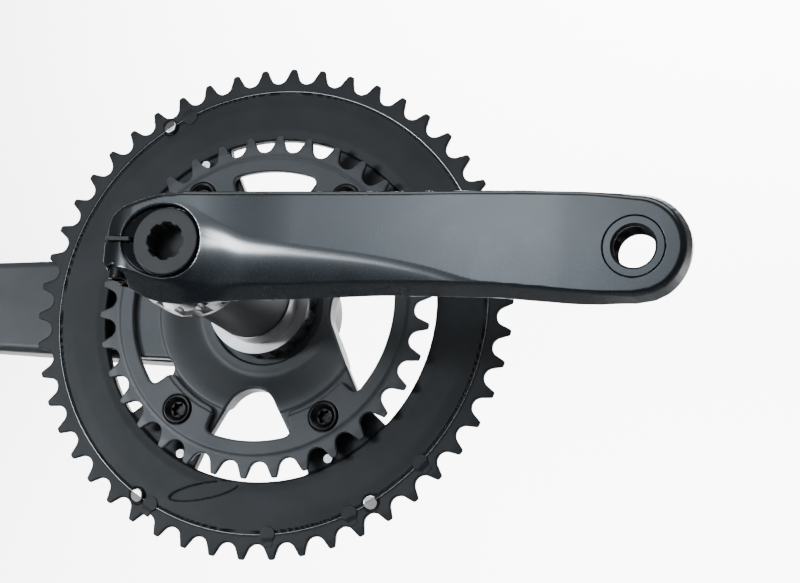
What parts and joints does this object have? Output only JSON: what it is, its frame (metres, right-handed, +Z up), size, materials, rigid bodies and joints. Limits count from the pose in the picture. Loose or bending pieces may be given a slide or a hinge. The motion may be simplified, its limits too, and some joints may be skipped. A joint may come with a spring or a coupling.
{
  "type": "bicycle crankset",
  "caption": "Bicycle crankset with a hollow axle in threaded bearing cups, a clamped left arm, a spider right arm and toothed chainrings.",
  "frame": {"origin": "on the axle's axis, midway between the bottom bracket's cups, at the centre of the frame's shell", "axes": "+Y along the axle to the drive side, +Z up, +X towards the bicycle's rear; the left arm points along +X at rest"},
  "size_m": [0.384, 0.146, 0.2072],
  "materials": {
    "arm_gloss": "glossy dark blue-grey, anodised",
    "ring_satin": "satin dark grey, anodised",
    "polished_alloy": "polished",
    "bearing_steel": "ground",
    "pin_steel": "polished",
    "black_steel": "black oxide",
    "black_plastic": "moulded, fine grain",
    "seal_rubber": "matt"
  },
  "bodies": {
    "bottom_bracket": {"left_cup": "polished_alloy", "right_cup": "polished_alloy", "shell_sleeve": "black_plastic", "sleeve_orings": "seal_rubber", "left_outer_race": "bearing_steel", "right_outer_race": "bearing_steel", "left_bearing_seals": "seal_rubber", "right_bearing_seals": "seal_rubber"},
    "crank": {"left_inner_race": "bearing_steel", "right_inner_race": "bearing_steel", "left_dust_cap": "black_plastic", "right_dust_cap": "black_plastic", "axle": "bearing_steel", "axle_oring": "seal_rubber", "axle_cover": "black_plastic", "left_crank_arm": "arm_gloss", "right_crank_arm": "ring_satin", "big_chainring": "ring_satin", "small_chainring": "ring_satin", "chainring_bolts": "black_steel", "shift_pins": "pin_steel", "shift_rivets": "pin_steel", "chain_catch_pin": "pin_steel", "pinch_bolts": "black_steel", "pinch_washers": "bearing_steel", "preload_cap": "black_plastic"},
    "left_ball_set": {"left_balls": "bearing_steel", "left_ball_cage": "black_plastic"},
    "right_ball_set": {"right_balls": "bearing_steel", "right_ball_cage": "black_plastic"},
    "safety_plate": {"stop_plate": "black_plastic"}
  },
  "joints": [
    {"name": "crank_spin", "type": "hinge", "parent": "bottom_bracket", "child": "crank", "pos_m": [0, 0, 0], "axis": [0, -1, 0], "continuous": true},
    {"name": "left_ball_spin", "type": "hinge", "parent": "bottom_bracket", "child": "left_ball_set", "pos_m": [0, -0.0401, 0], "axis": [0, -1, 0], "continuous": true},
    {"name": "right_ball_spin", "type": "hinge", "parent": "bottom_bracket", "child": "right_ball_set", "pos_m": [0, 0.0401, 0], "axis": [0, -1, 0], "continuous": true},
    {"name": "stop_plate_swing", "type": "hinge", "parent": "crank", "child": "safety_plate", "pos_m": [-0.0185, -0.0513, 0.0003], "axis": [0, 0, -1], "range_deg": [0, 17]}
  ],
  "couplings": [
    {"joint": "left_ball_spin", "follows": "crank_spin", "ratio": 0.4403},
    {"joint": "right_ball_spin", "follows": "crank_spin", "ratio": 0.4403}
  ]
}
